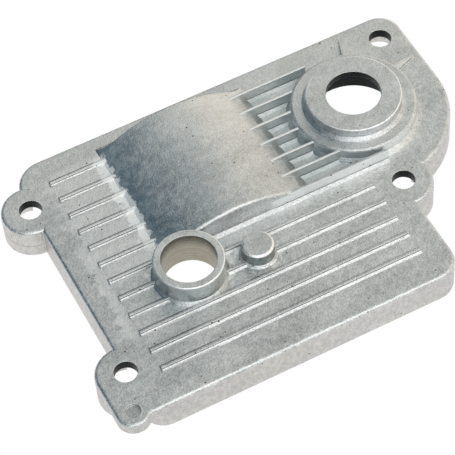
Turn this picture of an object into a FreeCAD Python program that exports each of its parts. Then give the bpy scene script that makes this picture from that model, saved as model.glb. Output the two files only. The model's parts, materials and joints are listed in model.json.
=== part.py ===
import FreeCAD, Part
import math
import os
import re
import Sketcher
from FreeCAD import Vector

# Die-cast gearbox housing half: a thin deck with a skirt all round, screw lugs, a gear bulge,
# a comb of stiffening ribs, a stepped bearing boss, a shaft tube and a locating stub.
# The sizes are measured from the axis of the shaft tube on the mating face. The body is then
# placed with the middle of its bounds over the origin, mating face down and bosses up.

SIZES = {
    # skirt, deck and the register step inside the mating edge
    "skirt_height": 8.2, "deck_thickness": 2.5, "side_wall": 2.0, "edge_round": 0.9,
    "register_width": 1.0, "register_depth": 1.3,
    # outline, measured from the axis of the shaft tube
    "left_reach": 24.6, "near_reach": 29.25, "far_reach": 47.3, "right_reach": 55.25,
    "far_left_radius": 7.3, "far_right_radius": 5.5,
    "near_right_radius": 6.0, "near_left_radius": 5.4,
    # bearing boss: flange, disc and the stepped bore below them
    "boss_x": 55.75, "boss_y": 23.3, "boss_shell_radius": 23.2,
    "flange_radius": 15.2, "flange_height": 3.6, "flange_flare": 1.1, "flange_round": 0.6,
    "disc_radius": 11.6, "disc_height": 3.15, "disc_flare": 0.8, "disc_round": 0.3,
    "shaft_hole_radius": 6.65, "shaft_lip": 1.7, "relief_radius": 8.0,
    "bearing_radius": 11.0, "bearing_width": 7.0, "bearing_drop": 3.25, "seat_wall": 2.4,
    # shaft tube
    "tube_radius": 8.4, "tube_height": 5.6, "tube_bore_radius": 6.55, "tube_length": 9.6,
    "tube_flare": 0.7, "tube_round": 0.35,
    # locating stub
    "stub_x": 16.15, "stub_y": -2.7, "stub_radius": 3.95, "stub_height": 3.9,
    "stub_round": 0.8, "stub_flare": 0.6, "pin_radius": 2.5, "pin_depth": 4.5,
    # screw holes and their lugs
    "screw_hole_radius": 2.75, "lug_radius": 7.1, "screw_circle_radius": 24.0,
    "screw_circle_angle": 45.0, "near_screw_y": -16.9, "left_screw_spacing": 51.6,
    # thin ear with a blind dimple
    "ear_x": -27.6, "ear_setback": 2.45, "ear_radius": 4.0, "ear_thickness": 3.0,
    "ear_blend": 2.0, "dimple_radius": 1.75, "dimple_depth": 0.6,
    # gear bulge
    "bulge_x": 15.9, "bulge_width": 39.0, "bulge_rise": 6.65,
    "bulge_near_margin": 0.35, "bulge_far_margin": 2.3, "bulge_round": 0.9,
    "bulge_far_blend": 3.6,
    # ribs
    "rib_pitch": 5.39, "last_rib_y": -20.1, "rib_left_x": -17.4, "rib_right_x": 48.9,
    "rib_crest": 0.6, "rib_root": 2.0, "short_rib_count": 7, "long_rib_count": 5,
    "long_rib_height": 0.65, "long_rib_toe": 0.6, "long_rib_draft": 0.1,
    "short_rib_height": 0.65, "short_rib_toe": 0.6, "short_rib_draft": 0.1,
    "tall_rib_height": 3.2, "tall_rib_toe": 0.9, "tall_rib_draft": 0.2,
    "wall_rib_height": 3.2, "wall_rib_toe": 0.9, "wall_rib_draft": 0.2,
    "foot_rib_height": 0.5, "foot_rib_toe": 0.9, "foot_rib_draft": 0.2,
    "tall_rib_setback": 4.65,
    # gussets behind the flange
    "gusset_thickness": 0.9, "gusset_height": 3.0, "gusset_reach": 7.6, "gusset_spread": 24.0,
}

doc = FreeCAD.newDocument("gearbox_housing")
sheet = doc.addObject("Spreadsheet::Sheet", "sizes")
for row, (alias, value) in enumerate(SIZES.items(), start=1):
    sheet.set(f"A{row}", alias)
    sheet.set(f"B{row}", str(value))
    sheet.setAlias(f"B{row}", alias)
doc.recompute()

body = doc.addObject("PartDesign::Body", "housing")
body.Label = "housing"


def bound(expression):
    """Points the names in a formula at the sheet; every alias has an underscore."""
    return re.sub(r"[a-z]+_\w+", r"sizes.\g<0>", expression)


def worth(expression):
    """The present value of a formula on the sheet's sizes."""
    return float(sheet.evalExpression(expression))


class Profile:
    """A sketch on one of the body's origin planes, moved along the plane and its normal."""

    def __init__(self, name, role, right="0", up="0", out="0", turn="0"):
        planes = body.Origin.OriginFeatures
        self.sketch = body.newObject("Sketcher::SketchObject", name)
        self.sketch.AttachmentSupport = (next(p for p in planes if p.Role == role), "")
        self.sketch.MapMode = "FlatFace"
        self.sketch.AttachmentOffset = FreeCAD.Placement(Vector(), FreeCAD.Rotation(Vector(0, 1, 0), 1))
        for axis, shift in zip("xyz", (right, up, out)):
            self.sketch.setExpression("AttachmentOffset.Base." + axis, bound(shift))
        self.sketch.setExpression("AttachmentOffset.Rotation.Angle", bound(turn))

    def rule(self, *facts):
        return self.sketch.addConstraint(Sketcher.Constraint(*facts))

    def measure(self, expression, *facts):
        """A dimension whose value is a formula on the sheet's sizes."""
        index = self.rule(*facts, worth(expression))
        self.sketch.setExpression(f"Constraints[{index}]", bound(expression))

    def pin(self, part, end, x, y):
        """Sets the place of a point by two formulas."""
        self.measure(x, "DistanceX", -1, 1, part, end)
        self.measure(y, "DistanceY", -1, 1, part, end)

    def line(self, start, end, construction=False):
        segment = Part.LineSegment(Vector(*start, 0), Vector(*end, 0))
        return self.sketch.addGeometry(segment, construction)

    def arc(self, centre, radius, start, end):
        circle = Part.Circle(Vector(*centre, 0), Vector(0, 0, 1), radius)
        bow = Part.ArcOfCircle(circle, math.radians(start), math.radians(end))
        return self.sketch.addGeometry(bow, False)

    def circle(self, x, y, radius):
        ring = Part.Circle(Vector(worth(x), worth(y), 0), Vector(0, 0, 1), worth(radius))
        index = self.sketch.addGeometry(ring, False)
        self.pin(index, 3, x, y)
        self.measure(radius, "Radius", index)

    def outline(self, *corners):
        """Straight sides through corners given as pairs of formulas."""
        spots = [(worth(x), worth(y)) for x, y in corners]
        sides = [self.line(spot, spots[(i + 1) % len(spots)]) for i, spot in enumerate(spots)]
        for i, side in enumerate(sides):
            self.rule("Coincident", side, 2, sides[(i + 1) % len(sides)], 1)
            self.pin(side, 1, *corners[i])


def feature(kind, name, profile, **settings):
    """A PartDesign feature on a profile; text settings are formulas, others plain values."""
    made = body.newObject("PartDesign::" + kind, name)
    made.Profile = profile.sketch
    for key, setting in settings.items():
        if isinstance(setting, str):
            made.setExpression(key, bound(setting))
        else:
            setattr(made, key, setting)
    doc.recompute()
    body.Tip = made
    profile.sketch.Visibility = False
    return made


# Skirt and deck: one closed outline, whose arc round the bearing boss shares the boss axis.

def shell_outline(profile, inset):
    """The casting's outline without its lugs, moved inwards by a formula."""
    left = f"-(left_reach - {inset})"
    near = f"-(near_reach - {inset})"
    far = f"far_reach - {inset}"
    right = f"right_reach - {inset}"
    x0, x1, y0, y1 = worth(left), worth(right), worth(near), worth(far)
    bx, by, br = worth("boss_x"), worth("boss_y"), worth(f"boss_shell_radius - {inset}")
    near_left, near_right, far_left, far_right = (
        worth(f"{corner}_radius - {inset}")
        for corner in ("near_left", "near_right", "far_left", "far_right"))
    start = 360 - math.degrees(math.acos((x1 - bx) / br))
    arc_end = by + br * math.sin(math.radians(start))
    p = profile
    sides = [
        p.line((x0 + near_left, y0), (x1 - near_right, y0)),
        p.arc((x1 - near_right, y0 + near_right), near_right, 270, 360),
        p.line((x1, y0 + near_right), (x1, arc_end)),
        p.arc((bx, by), br, start, 360),
        p.line((bx + br, by), (bx + br, y1 - far_right)),
        p.arc((bx + br - far_right, y1 - far_right), far_right, 0, 90),
        p.line((bx + br - far_right, y1), (x0 + far_left, y1)),
        p.arc((x0 + far_left, y1 - far_left), far_left, 90, 180),
        p.line((x0, y1 - far_left), (x0, y0 + near_left)),
        p.arc((x0 + near_left, y0 + near_left), near_left, 180, 270),
    ]
    for i, side in enumerate(sides):
        joint = "Coincident" if i == 2 else "Tangent"
        p.rule(joint, side, 2, sides[(i + 1) % len(sides)], 1)
    for side in (sides[0], sides[6]):
        p.rule("Horizontal", side)
    for side in (sides[2], sides[4], sides[8]):
        p.rule("Vertical", side)
    p.measure(near, "DistanceY", -1, 1, sides[0], 1)
    p.measure(right, "DistanceX", -1, 1, sides[2], 1)
    p.measure(far, "DistanceY", -1, 1, sides[6], 1)
    p.measure(left, "DistanceX", -1, 1, sides[8], 1)
    p.pin(sides[3], 3, "boss_x", "boss_y")
    p.measure(f"boss_shell_radius - {inset}", "Radius", sides[3])
    p.measure(f"near_right_radius - {inset}", "Radius", sides[1])
    p.measure(f"far_right_radius - {inset}", "Radius", sides[5])
    p.measure(f"far_left_radius - {inset}", "Radius", sides[7])
    p.measure(f"near_left_radius - {inset}", "Radius", sides[9])


LUGS = {
    "near_left": ("-left_reach", "near_screw_y"),
    "far_left": ("-left_reach", "near_screw_y + left_screw_spacing"),
    "near_right": ("boss_x", "boss_y - screw_circle_radius"),
}
SCREWS = dict(LUGS, far_right=("boss_x + screw_circle_radius * cos(screw_circle_angle)",
                               "boss_y + screw_circle_radius * sin(screw_circle_angle)"))

hull = Profile("hull_outline", "XY_Plane")
shell_outline(hull, "0")
feature("Pad", "hull", hull, Length="skirt_height")

lugs = Profile("lug_circles", "XY_Plane")
for x, y in LUGS.values():
    lugs.circle(x, y, "lug_radius")
feature("Pad", "lugs", lugs, Length="skirt_height")

# A thin ear beside the near left lug carries a blind dimple.
EAR_Y = "-(near_reach - ear_setback)"


def ear_outline(profile):
    """The ear's circle, its flat side against the lug and the blend into the near wall."""
    lug_x, lug_y, ear_x, ear_y = (worth(v) for v in ("-left_reach", "near_screw_y", "ear_x", EAR_Y))
    lug_r, ear_r, blend = worth("lug_radius"), worth("ear_radius"), worth("ear_blend")
    near_y, inner_x = -worth("near_reach"), worth("near_left_radius - left_reach")
    reach = math.hypot(lug_x - ear_x, lug_y - ear_y)
    lean = math.atan2(lug_y - ear_y, lug_x - ear_x) + math.acos((ear_r - lug_r) / reach)
    normal = (math.cos(lean), math.sin(lean))
    lug_spot = (lug_x + lug_r * normal[0], lug_y + lug_r * normal[1])
    ear_spot = (ear_x + ear_r * normal[0], ear_y + ear_r * normal[1])
    blend_y = near_y - blend
    blend_x = ear_x + math.sqrt((ear_r + blend) ** 2 - (blend_y - ear_y) ** 2)
    meet = math.degrees(math.atan2(blend_y - ear_y, blend_x - ear_x))
    p = profile
    side = p.line(lug_spot, ear_spot)
    tip = p.arc((ear_x, ear_y), ear_r, math.degrees(lean), 360 + meet)
    hollow = p.arc((blend_x, blend_y), blend, 90, 180 + meet)
    edge = p.line((blend_x, near_y), (inner_x, near_y))
    rise = p.line((inner_x, near_y), (inner_x, lug_y))
    back = p.line((inner_x, lug_y), (lug_x, lug_y))
    spoke = p.line((lug_x, lug_y), lug_spot)
    p.rule("Tangent", side, 2, tip, 1)
    p.rule("Tangent", tip, 2, hollow, 2)
    p.rule("Tangent", hollow, 1, edge, 1)
    for before, after in ((edge, rise), (rise, back), (back, spoke)):
        p.rule("Coincident", before, 2, after, 1)
    p.rule("Coincident", spoke, 2, side, 1)
    p.rule("Perpendicular", spoke, side)
    p.rule("Horizontal", edge)
    p.rule("Vertical", rise)
    p.rule("Horizontal", back)
    p.pin(spoke, 1, "-left_reach", "near_screw_y")
    p.measure("lug_radius", "Distance", spoke)
    p.pin(tip, 3, "ear_x", EAR_Y)
    p.measure("ear_radius", "Radius", tip)
    p.measure("ear_blend", "Radius", hollow)
    p.pin(rise, 1, "near_left_radius - left_reach", "-near_reach")


ear = Profile("ear_profile", "XY_Plane", out="skirt_height - ear_thickness")
ear_outline(ear)
feature("Pad", "ear", ear, Length="ear_thickness")


def face_at(shape, height):
    """The largest flat face that looks up at a height."""
    flats = [f for f in shape.Faces
             if abs(f.BoundBox.ZMin - height) < 1e-6 and abs(f.BoundBox.ZMax - height) < 1e-6]
    return max(flats, key=lambda f: f.Area)


def edge_names(shape, edges):
    return [f"Edge{i}" for i, e in enumerate(shape.Edges, start=1)
            if any(e.isSame(other) for other in edges)]


def fillet(name, edges, radius):
    """Rounds edges of the body's present shape."""
    base = body.Tip
    made = body.newObject("PartDesign::Fillet", name)
    made.Base = (base, edge_names(base.Shape, edges))
    made.setExpression("Radius", bound(radius))
    doc.recompute()
    body.Tip = made
    return made


deck = face_at(body.Tip.Shape, worth("skirt_height"))
fillet("deck_edge", deck.OuterWire.Edges, "edge_round")


# Hollow underside: the deck and the skirt keep their walls, and a step round the mating edge
# registers on the other half.

def hollow(name, inset, depth):
    """Cuts the inside of the skirt and of its lugs from the mating face."""
    inside = Profile(name + "_outline", "XY_Plane")
    shell_outline(inside, inset)
    feature("Pocket", name, inside, Length=depth, Reversed=True)
    rings = Profile(name + "_lug_circles", "XY_Plane")
    for x, y in LUGS.values():
        rings.circle(x, y, f"lug_radius - {inset}")
    feature("Pocket", name + "_lugs", rings, Length=depth, Reversed=True)


hollow("cavity", "side_wall", "skirt_height - deck_thickness")
hollow("register", "register_width", "register_depth")

# The nearest of the short ribs lines up with the near side of the gear bulge.
LAST_SHORT_RIB = "last_rib_y + long_rib_count * rib_pitch"


# Gear bulge: a cylinder segment across the deck, hollow below with the same wall.

def segment(name, across, rise, height, out):
    """A circular segment standing on a chord, in the plane across the bulge."""
    half, lift = worth(across) / 2, worth(rise)
    radius = (half ** 2 + lift ** 2) / (2 * lift)
    base, middle = worth(height), worth("bulge_x")
    spread = math.degrees(math.asin(half / radius))
    p = Profile(name, "XZ_Plane", out=out)
    chord = p.line((middle - half, base), (middle + half, base))
    bow = p.arc((middle, base + lift - radius), radius, 90 - spread, 90 + spread)
    p.rule("Coincident", chord, 2, bow, 1)
    p.rule("Coincident", chord, 1, bow, 2)
    p.pin(chord, 1, f"bulge_x - ({across}) / 2", height)
    p.pin(chord, 2, f"bulge_x + ({across}) / 2", height)
    p.measure(f"(({across}) ^ 2 / 4 + ({rise}) ^ 2) / (2 * ({rise}))", "Radius", bow)
    return p


BULGE_NEAR = f"{LAST_SHORT_RIB} - bulge_near_margin"
BULGE_FAR = f"{LAST_SHORT_RIB} + (short_rib_count - 1) * rib_pitch + bulge_far_margin"

bulge = segment("bulge_profile", "bulge_width", "bulge_rise", "skirt_height",
                out=f"-({BULGE_NEAR})")
feature("Pad", "bulge", bulge, Reversed=True,
        Length=f"{BULGE_FAR} + bulge_far_blend - ({BULGE_NEAR})")

# The far end of the bulge sinks into the deck in a wide hollow curve.
far_end = Profile("bulge_far_profile", "YZ_Plane", out="bulge_x - bulge_width / 2 - 1")
blend, base = worth("bulge_far_blend"), worth("skirt_height")
start, top = worth(BULGE_FAR), worth("skirt_height + bulge_rise + 1")
toe_y = start + blend - blend * math.sqrt(1 - 0.9 ** 2)
toe_angle = math.degrees(math.asin(0.9))
sweep = far_end.arc((start + blend, base + 0.9 * blend), blend, 180, 180 + toe_angle)
floor = far_end.line((toe_y, base), (start + blend + 1, base))
back = far_end.line((start + blend + 1, base), (start + blend + 1, top))
lid = far_end.line((start + blend + 1, top), (start, top))
wall = far_end.line((start, top), (start, base + 0.9 * blend))
for before, after in ((sweep, floor), (floor, back), (back, lid), (lid, wall)):
    far_end.rule("Coincident", before, 2, after, 1)
far_end.rule("Tangent", wall, 2, sweep, 1)
far_end.rule("Horizontal", floor)
far_end.rule("Vertical", back)
far_end.rule("Horizontal", lid)
far_end.rule("Vertical", wall)
far_end.pin(wall, 1, BULGE_FAR, "skirt_height + bulge_rise + 1")
far_end.pin(floor, 2, f"{BULGE_FAR} + bulge_far_blend + 1", "skirt_height")
far_end.measure("skirt_height + 0.9 * bulge_far_blend", "DistanceY", -1, 1, sweep, 3)
far_end.measure("bulge_far_blend", "Radius", sweep)
feature("Pocket", "bulge_far_end", far_end, Length="bulge_width + 2", Reversed=True)

near_wall = worth(BULGE_NEAR)
arch = [e for e in body.Tip.Shape.Edges
        if e.BoundBox.YMax - near_wall < 1e-6 and e.BoundBox.YMin - near_wall > -1e-6
        and e.BoundBox.ZMax > worth("skirt_height") + 1]
fillet("bulge_edge", arch, "bulge_round")


# Ribs: each is one section drawn across it and pushed along X, repeated at the rib pitch.

def rib(name, start, length, y, count):
    """A comb of ribs with leaning sides and splayed feet; the name picks the sizes."""
    crest = "rib_crest / 2"
    knee = f"{crest} + {name}_draft"
    foot = f"{knee} + {name}_toe"
    heights = ("skirt_height", f"skirt_height + {name}_toe / 2",
               f"skirt_height + {name}_height")
    steps = list(zip((foot, knee, crest), heights))
    p = Profile(name + "_profile", "YZ_Plane", out=start)
    p.outline(*((f"{y} - ({across})", height) for across, height in steps),
              *((f"{y} + {across}", height) for across, height in reversed(steps)))
    first = feature("Pad", name, p, Length=length)
    if count == "1":
        return
    comb = body.newObject("PartDesign::LinearPattern", name + "s")
    comb.Originals = [first]
    comb.Direction = (p.sketch, ["H_Axis"])
    comb.setExpression("Length", bound(f"({count} - 1) * rib_pitch"))
    comb.setExpression("Occurrences", bound(count))
    doc.recompute()
    body.Tip = comb


TALL_START = "bulge_x + bulge_width / 4"
rib("long_rib", "rib_left_x", "rib_right_x - rib_left_x", "last_rib_y", "long_rib_count")
rib("short_rib", "rib_left_x", "bulge_x - bulge_width / 2 + rib_root - rib_left_x",
    LAST_SHORT_RIB, "short_rib_count")
rib("tall_rib", TALL_START, f"boss_x - tall_rib_setback - ({TALL_START})",
    LAST_SHORT_RIB, "short_rib_count")
rib("wall_rib", TALL_START, f"boss_x - ({TALL_START})", LAST_SHORT_RIB, "1")
rib("foot_rib", "0", TALL_START, LAST_SHORT_RIB, "1")


# The hollow under the bulge is cut after the tall ribs, which start inside the bulge.
bulge_hollow = segment("bulge_hollow_profile", "bulge_width - 2 * side_wall",
                       "bulge_rise", "skirt_height - deck_thickness",
                       out=f"-({BULGE_NEAR}) - side_wall")
feature("Pocket", "bulge_hollow", bulge_hollow, Reversed=False,
        Length=f"{BULGE_FAR} - ({BULGE_NEAR}) - 2 * side_wall")


# Turned bosses: each outline stands beside its own upright axis.

# The share of a rounding that its middle facet leaves at each end.
ROUND_SHARE = "(1 - sqrt(2) / 2)"


def rounded(radius, top, rounding):
    """The outer top edge of a boss, rounded in two facets, as corners (radius, height)."""
    middle = f"{ROUND_SHARE} * {rounding}"
    return ((radius, f"{top} - {rounding}"),
            (f"{radius} - {middle}", f"{top} - {middle}"),
            (f"{radius} - {rounding}", top))


def turned(kind, name, x, y, *corners):
    """A full turn of an outline (radius, height) about an upright axis."""
    p = Profile(name + "_profile", "XZ_Plane", right=x, out=f"-({y})")
    p.outline(*corners)
    made = feature(kind, name, p)
    made.ReferenceAxis = (p.sketch, ["V_Axis"])
    made.Angle = 360
    doc.recompute()
    body.Tip = made


MID_DECK = "skirt_height - deck_thickness / 2"
FLANGE_TOP = "skirt_height + flange_height"
DISC_TOP = "skirt_height + flange_height + disc_height"
BEARING_TOP = DISC_TOP + " - bearing_drop"
TUBE_TOP = "skirt_height + tube_height"
STUB_TOP = "skirt_height + stub_height"

turned("Revolution", "bearing_boss", "boss_x", "boss_y",
       ("0", BEARING_TOP + " - bearing_width"),
       ("bearing_radius + seat_wall", BEARING_TOP + " - bearing_width"),
       ("bearing_radius + seat_wall", MID_DECK),
       ("flange_radius + flange_flare", MID_DECK),
       ("flange_radius + flange_flare", "skirt_height"),
       ("flange_radius", "skirt_height + flange_flare"),
       *rounded("flange_radius", FLANGE_TOP, "flange_round"),
       ("disc_radius + disc_flare", FLANGE_TOP),
       ("disc_radius", FLANGE_TOP + " + disc_flare"),
       *rounded("disc_radius", DISC_TOP, "disc_round"),
       ("0", DISC_TOP))
turned("Revolution", "shaft_tube", "0", "0",
       ("0", TUBE_TOP + " - tube_length"),
       ("tube_radius", TUBE_TOP + " - tube_length"),
       ("tube_radius", MID_DECK),
       ("tube_radius + tube_flare", MID_DECK),
       ("tube_radius + tube_flare", "skirt_height"),
       ("tube_radius", "skirt_height + tube_flare"),
       *rounded("tube_radius", TUBE_TOP, "tube_round"),
       ("0", TUBE_TOP))
turned("Revolution", "locating_stub", "stub_x", "stub_y",
       ("0", MID_DECK),
       ("stub_radius + stub_flare", MID_DECK),
       ("stub_radius + stub_flare", "skirt_height"),
       ("stub_radius", "skirt_height + stub_flare"),
       ("stub_radius", STUB_TOP),
       ("0", STUB_TOP))
fillet("stub_edge", face_at(body.Tip.Shape, worth(STUB_TOP)).Edges, "stub_round")

# Two thin gussets stand astride the far right screw.
for side, sign in (("left", "+"), ("right", "-")):
    gusset = Profile(side + "_gusset_profile", "XZ_Plane", right="boss_x", out="-boss_y",
                     turn=f"screw_circle_angle {sign} gusset_spread")
    gusset.outline(("flange_radius - 1", MID_DECK),
                   ("flange_radius + gusset_reach", MID_DECK),
                   ("flange_radius + gusset_reach", "skirt_height"),
                   ("flange_radius", "skirt_height + gusset_height"),
                   ("flange_radius - 1", "skirt_height + gusset_height"))
    feature("Pad", side + "_gusset", gusset, Midplane=True, Length="gusset_thickness")


# Bores, cut last so that nothing fills them again.

turned("Groove", "bearing_bore", "boss_x", "boss_y",
       ("0", "-1"),
       ("bearing_radius", "-1"),
       ("bearing_radius", BEARING_TOP),
       ("relief_radius", BEARING_TOP),
       ("relief_radius", DISC_TOP + " - shaft_lip"),
       ("shaft_hole_radius", DISC_TOP + " - shaft_lip"),
       ("shaft_hole_radius", DISC_TOP + " + 1"),
       ("0", DISC_TOP + " + 1"))
turned("Groove", "tube_bore", "0", "0",
       ("0", "-1"),
       ("tube_bore_radius", "-1"),
       ("tube_bore_radius", TUBE_TOP + " + 1"),
       ("0", TUBE_TOP + " + 1"))
turned("Groove", "pin_pocket", "stub_x", "stub_y",
       ("0", "skirt_height - deck_thickness - 1"),
       ("pin_radius", "skirt_height - deck_thickness - 1"),
       ("pin_radius", "skirt_height - deck_thickness + pin_depth"),
       ("0", "skirt_height - deck_thickness + pin_depth"))

screws = Profile("screw_holes_layout", "XY_Plane", out="-1")
for x, y in SCREWS.values():
    screws.circle(x, y, "screw_hole_radius")
feature("Pocket", "screw_holes", screws, Length="skirt_height + 2", Reversed=True)

dimple = Profile("ear_dimple_layout", "XY_Plane", out="skirt_height")
dimple.circle("ear_x", EAR_Y, "dimple_radius")
feature("Pocket", "ear_dimple", dimple, Length="dimple_depth")


body.setExpression("Placement.Base.x", bound(
    "(left_reach + lug_radius - boss_x - boss_shell_radius) / 2"))
body.setExpression("Placement.Base.y", bound("(near_reach - ear_setback + ear_radius - far_reach) / 2"))

# Nothing is written unless every object is sound and the housing is one valid solid.
doc.recompute()
for made in doc.Objects:
    if {"Invalid", "Error"} & set(made.State):
        raise RuntimeError(f"{made.Label} did not build")
    shape = getattr(made, "Shape", None)
    if made.isDerivedFrom("PartDesign::Feature") and (shape.isNull() or not shape.isValid()):
        raise RuntimeError(f"{made.Label} has no sound shape")
casting = body.Shape
if not casting.isValid() or len(casting.Solids) != 1:
    raise RuntimeError("the housing is not one valid solid")

os.makedirs("parts", exist_ok=True)
casting.exportStep("parts/housing.step")
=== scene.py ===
import json
from math import cos, pi, radians, sin

import bmesh
import bpy
from mathutils import Matrix, Vector


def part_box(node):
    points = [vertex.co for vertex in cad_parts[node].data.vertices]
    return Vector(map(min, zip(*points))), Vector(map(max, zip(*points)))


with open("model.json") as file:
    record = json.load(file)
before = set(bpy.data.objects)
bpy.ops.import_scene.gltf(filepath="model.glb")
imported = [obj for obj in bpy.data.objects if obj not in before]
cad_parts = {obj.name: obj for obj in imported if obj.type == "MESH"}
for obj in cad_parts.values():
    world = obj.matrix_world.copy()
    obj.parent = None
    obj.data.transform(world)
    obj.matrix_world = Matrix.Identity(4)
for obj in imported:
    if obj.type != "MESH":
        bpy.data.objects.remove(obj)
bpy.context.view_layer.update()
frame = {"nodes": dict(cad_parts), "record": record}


# Skin: the housing is one aluminium pressure die casting, tumbled once it is out of the die.
# Its skin shows clouds, drawn-out flow marks, clumps and a sandy grain. Towards the far side
# it is painted paler, a painted light.

MILLIMETRE = 0.001
DULL_METAL = (0.40, 0.42, 0.425, 1)
CLEAN_METAL = (0.90, 0.915, 0.915, 1)
FAR_LIGHT = (0.95, 0.94, 0.91, 1)
FAR_START = 12
FAR_FULL = 34


class Wire:
    """A shader socket that adds its Math nodes when it is used in an expression."""

    def __init__(self, tree, socket):
        self.tree = tree
        self.socket = socket

    def node(self, kind, settings=None, inputs=None, output=0):
        """Adds a node, sets its settings, then its sockets by name or number."""
        made = self.tree.nodes.new(kind)
        for key, value in (settings or {}).items():
            setattr(made, key, value)
        for key, value in (inputs or {}).items():
            if isinstance(value, Wire):
                self.tree.links.new(value.socket, made.inputs[key])
            else:
                made.inputs[key].default_value = value
        return Wire(self.tree, made.outputs[output])

    def maths(self, operation, *values):
        return self.node("ShaderNodeMath", {"operation": operation}, dict(enumerate(values)))

    def __add__(self, other):
        return self.maths("ADD", self, other)

    def __sub__(self, other):
        return self.maths("SUBTRACT", self, other)

    def __rsub__(self, other):
        return self.maths("SUBTRACT", other, self)

    def __mul__(self, other):
        return self.maths("MULTIPLY", self, other)

    __radd__ = __add__
    __rmul__ = __mul__

    def ramp(self, low, high):
        """0 below low, 1 above high and smooth between."""
        return self.node("ShaderNodeMapRange", {"interpolation_type": "SMOOTHSTEP"},
                         {"Value": self, "From Min": low, "From Max": high})

    def band(self, start, full, fade, end):
        """1 from full to fade, 0 before start and after end, and smooth between."""
        return self.ramp(start, full) * (1 - self.ramp(fade, end))

    def blend(self, first, second):
        """A colour that goes from first to second as this mask goes from 0 to 1."""
        return self.node("ShaderNodeMix", {"data_type": "RGBA"},
                         {0: self, 6: first, 7: second}, output=2)


def material(name):
    """An empty node material, its tree's starting wire and its shader."""
    made = bpy.data.materials.new(name)
    made.use_nodes = True
    shader = made.node_tree.nodes["Principled BSDF"]
    return made, Wire(made.node_tree, None), shader


cast, wire, shader = material("die_cast_metal")
place = wire.node("ShaderNodeTexCoord", output=3)
facing = wire.node("ShaderNodeTexCoord", output=1)

# Places in millimetres: across and along the casting, and the level above its mating face.
spot = wire.node("ShaderNodeVectorMath", {"operation": "SCALE"},
                 {0: place, "Scale": 1 / MILLIMETRE})
plan = wire.node("ShaderNodeVectorMath", {"operation": "MULTIPLY"}, {0: spot, 1: (1, 1, 0)})
across = wire.node("ShaderNodeSeparateXYZ", None, {0: spot}, output=0)
along = wire.node("ShaderNodeSeparateXYZ", None, {0: spot}, output=1)
level = wire.node("ShaderNodeSeparateXYZ", None, {0: spot}, output=2)

# Slopes: upward is 1 on a face that looks straight up and -1 on one that looks down.
upward = wire.node("ShaderNodeSeparateXYZ", None, {0: facing}, output=2)
flat_top = upward.ramp(0.9, 0.97)
topside = upward.ramp(0, 0.3)
steep = 1 - upward.maths("ABSOLUTE", upward).ramp(0.3, 0.6)


def grain(size, detail, rough=0.5, stretch=(1, 1, 1)):
    """Noise whose features are about size millimetres across, stretched by a vector."""
    drawn = wire.node("ShaderNodeMapping", None, {"Vector": place, "Scale": stretch})
    return wire.node("ShaderNodeTexNoise", None, {
        "Vector": drawn, "Scale": 1 / (size * MILLIMETRE), "Detail": detail, "Roughness": rough})


cloud = grain(18, 2).ramp(0.3, 0.7)
flow = grain(5, 2, stretch=(0.4, 1, 1)).ramp(0.3, 0.7)
clump = grain(1.6, 2).ramp(0.3, 0.7)
sand = grain(0.38, 1)
tone = cloud * 0.12 + flow * 0.2 + clump * 0.2 + sand.ramp(0.3, 0.7) * 0.35
# Painted light: the casting turns paler towards the far side.
far_painted_light = (along.ramp(FAR_START, FAR_FULL) * 0.3, FAR_LIGHT)


# Pits: a few small round voids where trapped gas broke the skin, left open, with painted shade
# inside them. Each lies in a cell of the skin of its own, and about one cell in five has one.

PIT_CELL = 1.7
PIT_SHADE = (0.10, 0.11, 0.11, 1)

cells = {"Vector": place, "Scale": 1 / (PIT_CELL * MILLIMETRE)}
pit_reach = wire.node("ShaderNodeTexVoronoi", None, cells)
pit_colour = wire.node("ShaderNodeTexVoronoi", None, cells, output=1)
pit_luck = wire.node("ShaderNodeSeparateColor", None, {0: pit_colour})
# Painted shade inside each pit.
pits = (1 - pit_reach.ramp(0.07, 0.13)) * pit_luck.ramp(0.78, 0.82)
pit_painted_shade = (pits, PIT_SHADE)


# Worn edges: tumbling rounds every sharp edge of the casting a little and rubs it bright. The
# pale colour there, on hollow edges as well, is also a painted highlight. They lie where the
# rounded normal leaves the true one.

EDGE_ROUND = 0.25
RUBBED_AND_HIGHLIGHT_METAL = (0.92, 0.93, 0.92, 1)

soft_edge = wire.node("ShaderNodeBevel", {"samples": 6}, {"Radius": EDGE_ROUND * MILLIMETRE})
true_face = wire.node("ShaderNodeNewGeometry", output=1)
bend = wire.node("ShaderNodeVectorMath", {"operation": "DOT_PRODUCT"},
                 {0: soft_edge, 1: true_face}, output=1)
# Painted highlight, with some real wear, on the rounded edges.
edge_wear_and_highlight = 1 - bend.ramp(0.75, 0.97)
worn_edges_and_highlight = (edge_wear_and_highlight * 0.7, RUBBED_AND_HIGHLIGHT_METAL)


# Skirt and lugs: the outer walls, with the lugs whose screws hold this half to the other. The
# die drags marks up the walls as it opens, and leaves a fine dark parting line round the left
# lugs. The walls are also painted paler and warmer, a painted light.

WALL_TOP = 7.2
LUG_REACH = 8
PARTING_LEVEL = 3.6
SKIRT_LIGHT = (0.66, 0.62, 0.58, 1)
DRAG_GREY = (0.36, 0.345, 0.32, 1)
PARTING_GREY = (0.20, 0.20, 0.19, 1)

mounts = {mount["name"]: mount for mount in frame["record"]["mounts"]}


def axis_of(name):
    """The point of a mount, in millimetres."""
    return [length / MILLIMETRE for length in mounts[name]["pos_m"]]


def inside(axis, radius):
    """1 within a radius of the upright axis through a point, 0 outside it."""
    reach = wire.node("ShaderNodeVectorMath", {"operation": "DISTANCE"},
                      {0: plan, 1: (axis[0], axis[1], 0)}, output=1)
    return 1 - reach.ramp(radius, radius + 0.1)


screw_x, screw_y = axis_of("left_screws")[:2]
half_spacing = mounts["left_screws"]["dims"]["spacing_y_mm"] / 2
left_lugs = [(screw_x, screw_y - half_spacing), (screw_x, screw_y + half_spacing)]

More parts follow.
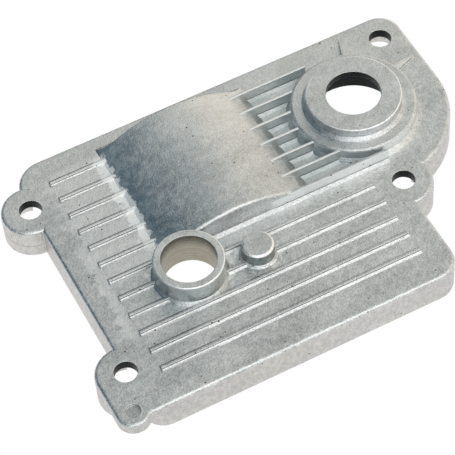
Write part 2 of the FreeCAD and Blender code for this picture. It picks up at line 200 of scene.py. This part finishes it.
skirt = steep * (1 - level.ramp(WALL_TOP, WALL_TOP + 0.6))
drag = skirt * grain(1.1, 3, 0.6, (1, 1, 0.55)).ramp(0.35, 0.65)
wavy = level + 0.25 * flow
seam = wavy.band(PARTING_LEVEL - 0.1, PARTING_LEVEL, PARTING_LEVEL + 0.1, PARTING_LEVEL + 0.2)
parting = sum(inside(lug, LUG_REACH) for lug in left_lugs) * skirt * seam
# Painted light: the walls are painted paler and warmer.
skirt_painted_light = (skirt * 0.45, SKIRT_LIGHT)
drag_marks = (drag * 0.35, DRAG_GREY)
parting_line = (parting * 0.6, PARTING_GREY)


# Ear: a thin tongue beside the near left lug, cast in one with it. It has a blind dimple, which
# is painted darker than the metal round it, a painted shade.

DIMPLE_FROM_LEFT = 4.1
DIMPLE_FROM_NEAR = 4
DIMPLE_RADIUS = 1.7
DIMPLE_SHADE = (0.30, 0.30, 0.29, 1)

left, near = (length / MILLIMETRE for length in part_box("housing")[0][:2])
dimple = inside((left + DIMPLE_FROM_LEFT, near + DIMPLE_FROM_NEAR), DIMPLE_RADIUS)
# Painted shade in the dimple.
dimple_painted_shade = (dimple * 0.35, DIMPLE_SHADE)


# Gear bulge: the deck arches up over the large gear, all in the one casting. Release agent from
# the die dries as a pale, matt, ragged rim along the bulge's left foot.

DECK_LEVEL = 8.2
FOOT_TO_BULGE_SPACE = 8.1
RIM_NEAR = -1.2
RIM_FAR = 33.5
DRIED_AGENT = (0.88, 0.90, 0.90, 1)

height = level - DECK_LEVEL
openings = {opening["name"]: opening for opening in frame["record"]["physics"]["openings"]}
bulge_left = openings["bulge_space"]["box_m"][0][0] / MILLIMETRE - FOOT_TO_BULGE_SPACE
ragged = across + 1.5 * clump + 0.9 * flow + 0.6
foot = (ragged.band(bulge_left - 1.2, bulge_left + 0.2, bulge_left + 2.2, bulge_left + 2.8)
        * along.band(RIM_NEAR, RIM_NEAR + 1.7, RIM_FAR - 1.5, RIM_FAR)
        * height.band(-0.1, 0, 0.7, 1.4))
bulge_rim = (foot * 0.85, DRIED_AGENT)


# Low ribs: two combs cast on the deck to stiffen it, with leaning sides and splayed toes. Their
# flanks and toes are painted darker, a painted shade, and a thin bloom of release agent dries
# between the short ones and gathers in a wavy rim at their left ends.

RIB_HEIGHT = 0.65
SHORT_RIB_LENGTH = 13.8
TOE_SHADE = (0.28, 0.29, 0.29, 1)
FLANK_SHADE = (0.10, 0.11, 0.11, 1)
THIN_BLOOM = (0.97, 0.98, 0.98, 1)

rib_start = bulge_left - SHORT_RIB_LENGTH
left_of_bulge = 1 - across.ramp(bulge_left, bulge_left + 1)
patchy = across + 2.4 * (clump - 0.5) + 2.4 * (flow - 0.5)
between = (patchy.ramp(rib_start - 2.2, rib_start + 0.6) * left_of_bulge
           * along.band(-4, -1.5, 32.5, 34.5) * flat_top)
ends = (ragged.band(rib_start - 1.6, rib_start - 0.6, rib_start + 0.9, rib_start + 1.9)
        * along.band(-20, -15, 6, 16) * flat_top)
# Painted shade on the rib toes.
toes = (1 - flat_top) * height.band(-0.01, 0.01, 0.13, 0.2) * left_of_bulge
# Painted shade on the rib flanks.
flanks = steep * height.band(0.25, 0.3, RIB_HEIGHT - 0.07, RIB_HEIGHT - 0.01)
bloom_between_ribs = (between * 0.42, THIN_BLOOM)
bloom_at_rib_ends = (ends * 0.45, THIN_BLOOM)
toe_painted_shade = (toes * 0.7, TOE_SHADE)
flank_painted_shade = (flanks * 0.65, FLANK_SHADE)


# Tall ribs: seven cast walls that tie the gear bulge to the bearing boss. Their crests carry a
# painted highlight, their walls a painted light and the pockets between them a painted shade.

TALL_RIB_HEIGHT = 3.2
POCKETS_LEFT = 2
POCKETS_FAR = 32
POCKET_TOP = 1.2
BOSS_REACH = 15
RIB_WALL_LIGHT = (0.96, 0.98, 0.98, 1)
POCKET_SHADE = (0.30, 0.345, 0.35, 1)
PAINTED_HIGHLIGHT = (1.0, 1.0, 0.99, 1)

boss = axis_of("shaft_opening")
# Painted light on the tall rib walls.
tall_rib_walls = (steep * height.band(0.7, 0.9, TALL_RIB_HEIGHT - 0.1, TALL_RIB_HEIGHT + 0.2)
            * across.ramp(0, POCKETS_LEFT))
beside_boss = (across.band(POCKETS_LEFT, POCKETS_LEFT + 3, boss[0] - 2, boss[0])
               * along.band(-1, 0, POCKETS_FAR - 0.5, POCKETS_FAR)
               * (1 - inside(boss, BOSS_REACH)))
# Painted shade in the pockets between the tall ribs.
pockets = beside_boss * (1 - height.ramp(POCKET_TOP, POCKET_TOP + 0.5)) * (1 - steep) * topside
# Painted highlight on the tall rib crests.
crests = beside_boss * flat_top * height.band(
    TALL_RIB_HEIGHT - 0.1, TALL_RIB_HEIGHT - 0.05, TALL_RIB_HEIGHT + 0.05, TALL_RIB_HEIGHT + 0.1)
rib_wall_painted_light = (tall_rib_walls * 0.7, RIB_WALL_LIGHT)
pocket_painted_shade = (pockets * (0.45 + 0.35 * flow), POCKET_SHADE)
crest_painted_highlight = (crests * 0.8, PAINTED_HIGHLIGHT)


# Shaft tube and locating stub: two round upstands cast on the deck, with walls painted darker, a
# painted shade, and a pale bloom round their feet. The tube's bore is turned and finely ringed,
# and painted dark and warm, a painted shade.

TUBE_RADIUS = 8.4
TUBE_HEIGHT = 5.6
STUB_RADIUS = 3.95
STUB_HEIGHT = 3.9
WAVE_SIZE = 3.2
TUBE_SHADE = (0.30, 0.36, 0.35, 1)
STUB_SHADE = (0.14, 0.17, 0.165, 1)
FOOT_BLOOM = (0.96, 0.98, 0.98, 1)
RING_DARK = (0.27, 0.24, 0.17, 1)
RING_PALE = (0.35, 0.315, 0.235, 1)
MOUTH_SHADE = (0.085, 0.078, 0.058, 1)

tube = axis_of("shaft_tube")
stub = axis_of("pin_pocket")
bore = inside(tube, mounts["shaft_tube"]["dims"]["r_mm"] + 0.1) * steep
# Painted shade on the tube and stub walls.
tube_wall = inside(tube, TUBE_RADIUS + 1) * steep * (1 - bore)
stub_wall = inside(stub, STUB_RADIUS + 0.75) * steep
round_feet = inside(tube, TUBE_RADIUS + 2) + inside(stub, STUB_RADIUS + 1.65)
bloom = (round_feet * (1 - height.ramp(0.05, 0.2)) * (clump + flow).ramp(0.9, 1.4)
         * (1 - steep) * topside)
mouth = bore * height.ramp(1.2, TUBE_HEIGHT - 0.2)

# Waves of this size draw a ring about every millimetre up the bore.
rings = wire.node("ShaderNodeTexWave", {"bands_direction": "Z"}, {
    "Vector": place, "Scale": 1 / (WAVE_SIZE * MILLIMETRE), "Distortion": 1.5})

tube_painted_shade = (tube_wall * 0.25, TUBE_SHADE)
stub_painted_shade = (stub_wall * 0.7, STUB_SHADE)
bloom_at_feet = (bloom * 0.6, FOOT_BLOOM)
# The bore's dark warm colour is painted shade, with turning rings in it.
bore_rings_and_painted_shade = (bore * 0.8, rings.blend(RING_DARK, RING_PALE))
shaded_mouth = (mouth * 0.9, MOUTH_SHADE)


# Lips and tops: the tube, the stub and the disc of the bearing boss end in flat cast faces, matt
# and a little paler. Each has a narrow rounded lip with a painted highlight.

DISC_RADIUS = 11.6
DISC_HEIGHT = 6.75
RAISED_HEIGHT = 3
FACED_METAL = (0.94, 0.95, 0.93, 1)


def above(axis, radius, start, full):
    """The part of a round upstand that lies above a height over the deck."""
    return inside(axis, radius) * height.ramp(start, full)


# Painted highlight on the lips.
leaning = (1 - steep) * (1 - upward.ramp(0.95, 0.985))
lips = leaning * (above(stub, STUB_RADIUS + 0.35, STUB_HEIGHT - 1.3, STUB_HEIGHT - 1.1)
                  + above(tube, TUBE_RADIUS + 0.2, TUBE_HEIGHT - 0.5, TUBE_HEIGHT - 0.4)
                  + above(boss, DISC_RADIUS + 0.2, DISC_HEIGHT - 1.3, DISC_HEIGHT - 1.2))
upstands = (inside(tube, TUBE_RADIUS - 0.1) + inside(boss, DISC_RADIUS - 0.1)
            + inside(stub, STUB_RADIUS - 0.35))
tops = flat_top * height.ramp(RAISED_HEIGHT, RAISED_HEIGHT + 0.2) * upstands
lip_painted_highlight = (lips * 0.9, PAINTED_HIGHLIGHT)
faced_tops = (tops * 0.12, FACED_METAL)


# Holes: the four screw holes, the shaft opening and the bearing seat below it, all with upright
# walls. These see little but each other, so they stay in their own shade.

SCREW_MARGIN = 0.35
SEAT_MARGIN = 0.2
DEEP_SHADE = (0.012, 0.014, 0.014, 1)

screw_reach = mounts["left_screws"]["dims"]["hole_r_mm"] + SCREW_MARGIN
seat_reach = mounts["bearing_seat"]["dims"]["r_mm"] + SEAT_MARGIN
screws = left_lugs + [axis_of("near_right_screw"), axis_of("far_right_screw")]
holes = sum(inside(screw, screw_reach) for screw in screws) + inside(boss, seat_reach)
shaded_holes = (holes * steep, DEEP_SHADE)


# Finish: the bare skin takes its coats in this order, each a mask and the colour that it brings.
# The metal is matt, smoother where it is rubbed, and duller and chalky under the dried agent.

MATT = 0.34
RELIEF_DEPTH = 0.1

colour = tone.blend(DULL_METAL, CLEAN_METAL)
for mask, shade in (far_painted_light, bloom_between_ribs, bloom_at_rib_ends, skirt_painted_light, drag_marks,
                    parting_line, tube_painted_shade, stub_painted_shade, lip_painted_highlight, toe_painted_shade, bloom_at_feet,
                    rib_wall_painted_light, pocket_painted_shade, crest_painted_highlight, flank_painted_shade, dimple_painted_shade, bulge_rim,
                    faced_tops, worn_edges_and_highlight, bore_rings_and_painted_shade, shaded_mouth, shaded_holes, pit_painted_shade):
    colour = mask.blend(colour, shade)
rough = (MATT + 0.10 * clump + 0.06 * flow + 0.08 * tops + 0.3 * pits
         - 0.12 * edge_wear_and_highlight - 0.1 * lips + 0.15 * foot)
relief = (sand * 0.85 + clump * 0.3 + flow * 0.4 + drag * 0.4
          - 1.5 * pits + 0.2 * rings * bore)
bump = wire.node("ShaderNodeBump", None, {
    "Height": relief, "Strength": 1, "Distance": RELIEF_DEPTH * MILLIMETRE, "Normal": soft_edge})
for name, value in (("Base Color", colour), ("Metallic", 1 - 0.6 * foot), ("Roughness", rough),
                    ("Normal", bump)):
    cast.node_tree.links.new(value.socket, shader.inputs[name])

housing = frame["nodes"]["housing"]
housing.data.materials.clear()
housing.data.materials.append(cast)


# Floor: plain white paper under the casting. The camera and the metal see it glow pure white, so
# it shows no shadow, and from below it is clear, so that the hollow side can be seen.

FLOOR_HALF = 1.5
PAPER_WHITE = (0.8, 0.8, 0.8, 1)

floor_mesh = bmesh.new()
bmesh.ops.create_grid(floor_mesh, size=FLOOR_HALF)
floor_data = bpy.data.meshes.new("floor")
floor_mesh.to_mesh(floor_data)
floor_mesh.free()
floor = bpy.data.objects.new("floor", floor_data)
bpy.context.collection.objects.link(floor)

paper, wire, shader = material("paper")
shader.inputs["Base Color"].default_value = PAPER_WHITE
shader.inputs["Roughness"].default_value = 0.9
rays = wire.node("ShaderNodeLightPath").socket.node.outputs
seen = sum(Wire(paper.node_tree, rays[name])
           for name in ("Is Camera Ray", "Is Glossy Ray", "Is Transmission Ray"))
matt_paper = Wire(paper.node_tree, shader.outputs[0])
glow = wire.node("ShaderNodeEmission", None, {"Color": (1, 1, 1, 1), "Strength": 1})
lit = wire.node("ShaderNodeMixShader", None, {0: seen, 1: matt_paper, 2: glow})
underside = wire.node("ShaderNodeNewGeometry", output=6)
clear = wire.node("ShaderNodeBsdfTransparent")
sheet = wire.node("ShaderNodeMixShader", None, {0: underside, 1: lit, 2: clear})
paper.node_tree.links.new(sheet.socket, paper.node_tree.nodes["Material Output"].inputs[0])
floor_data.materials.append(paper)


# Room: pale grey walls all round that the metal mirrors, warm on the right, dark blue at the far
# left and dark straight beyond the far side. The camera sees them white.

GREY_WALL = (0.57, 0.60, 0.595, 1)
WARM_WALL = (0.95, 0.89, 0.79, 1)
BLUE_WALL = (0.055, 0.115, 0.16, 1)
DARK_WALL = (0.06, 0.07, 0.07, 1)

world = bpy.data.worlds.new("studio")
bpy.context.scene.world = world
world.use_nodes = True
room = Wire(world.node_tree, None)
outlook = room.node("ShaderNodeTexCoord")


def toward(direction, low, high):
    """A mask that rises from 0 to 1 as the view turns towards a direction."""
    return room.node("ShaderNodeVectorMath", {"operation": "DOT_PRODUCT"},
                     {0: outlook, 1: direction}, output=1).ramp(low, high)


walls = toward((1, 0, 0), 0.20, 0.62).blend(GREY_WALL, WARM_WALL)
walls = toward((-0.82, 0.57, 0), 0.24, 0.80).blend(walls, BLUE_WALL)
walls = toward((0.1, 0.99, 0), 0.88, 1.0).blend(walls, DARK_WALL)
walls = room.node("ShaderNodeLightPath").blend(walls, (1, 1, 1, 1))
backdrop = world.node_tree.nodes["Background"]
world.node_tree.links.new(walls.socket, backdrop.inputs["Color"])


# Lamp: one wide white softbox, high up on the near side and turned to the casting. It is about
# ten times as wide as the casting, so what it lights has soft edges.

LAMP_TOWARD = (0.02, -0.60, 0.78)
LAMP_DISTANCE = 0.8
LAMP_WIDTH = 1.1
LAMP_DEPTH = 0.7
LAMP_RADIANCE = 1.3

softbox = bpy.data.lights.new("near_overhead_softbox", "AREA")
softbox.shape = "RECTANGLE"
softbox.size = LAMP_WIDTH
softbox.size_y = LAMP_DEPTH
softbox.energy = LAMP_RADIANCE * pi * LAMP_WIDTH * LAMP_DEPTH
lamp = bpy.data.objects.new("near_overhead_softbox", softbox)
lamp.location = Vector(LAMP_TOWARD).normalized() * LAMP_DISTANCE
lamp.rotation_euler = lamp.location.to_track_quat("Z", "Y").to_euler()
bpy.context.collection.objects.link(lamp)


# Camera: a long lens above the near left side of the casting, rolled a little. It stands half a
# metre away, and the casting fills its frame.

AZIMUTH = radians(-23.299)
ELEVATION = radians(53.357)
ROLL = radians(-5.035)
STATION = (-0.1302, -0.27945, 0.4159)
LENS = 173.48
SENSOR = 36

back = Vector((sin(AZIMUTH) * cos(ELEVATION), -cos(AZIMUTH) * cos(ELEVATION), sin(ELEVATION)))
level_right = (-back).cross(Vector((0, 0, 1))).normalized()
level_up = level_right.cross(-back)
right = level_right * cos(ROLL) + level_up * sin(ROLL)
up = level_up * cos(ROLL) - level_right * sin(ROLL)
camera_data = bpy.data.cameras.new("camera")
camera_data.lens = LENS
camera_data.sensor_width = SENSOR
camera = bpy.data.objects.new("camera", camera_data)
camera.matrix_world = (Matrix.Translation(STATION)
                       @ Matrix((right, up, back)).transposed().to_4x4())
bpy.context.collection.objects.link(camera)
bpy.context.scene.camera = camera
bpy.context.scene.view_settings.view_transform = "Standard"
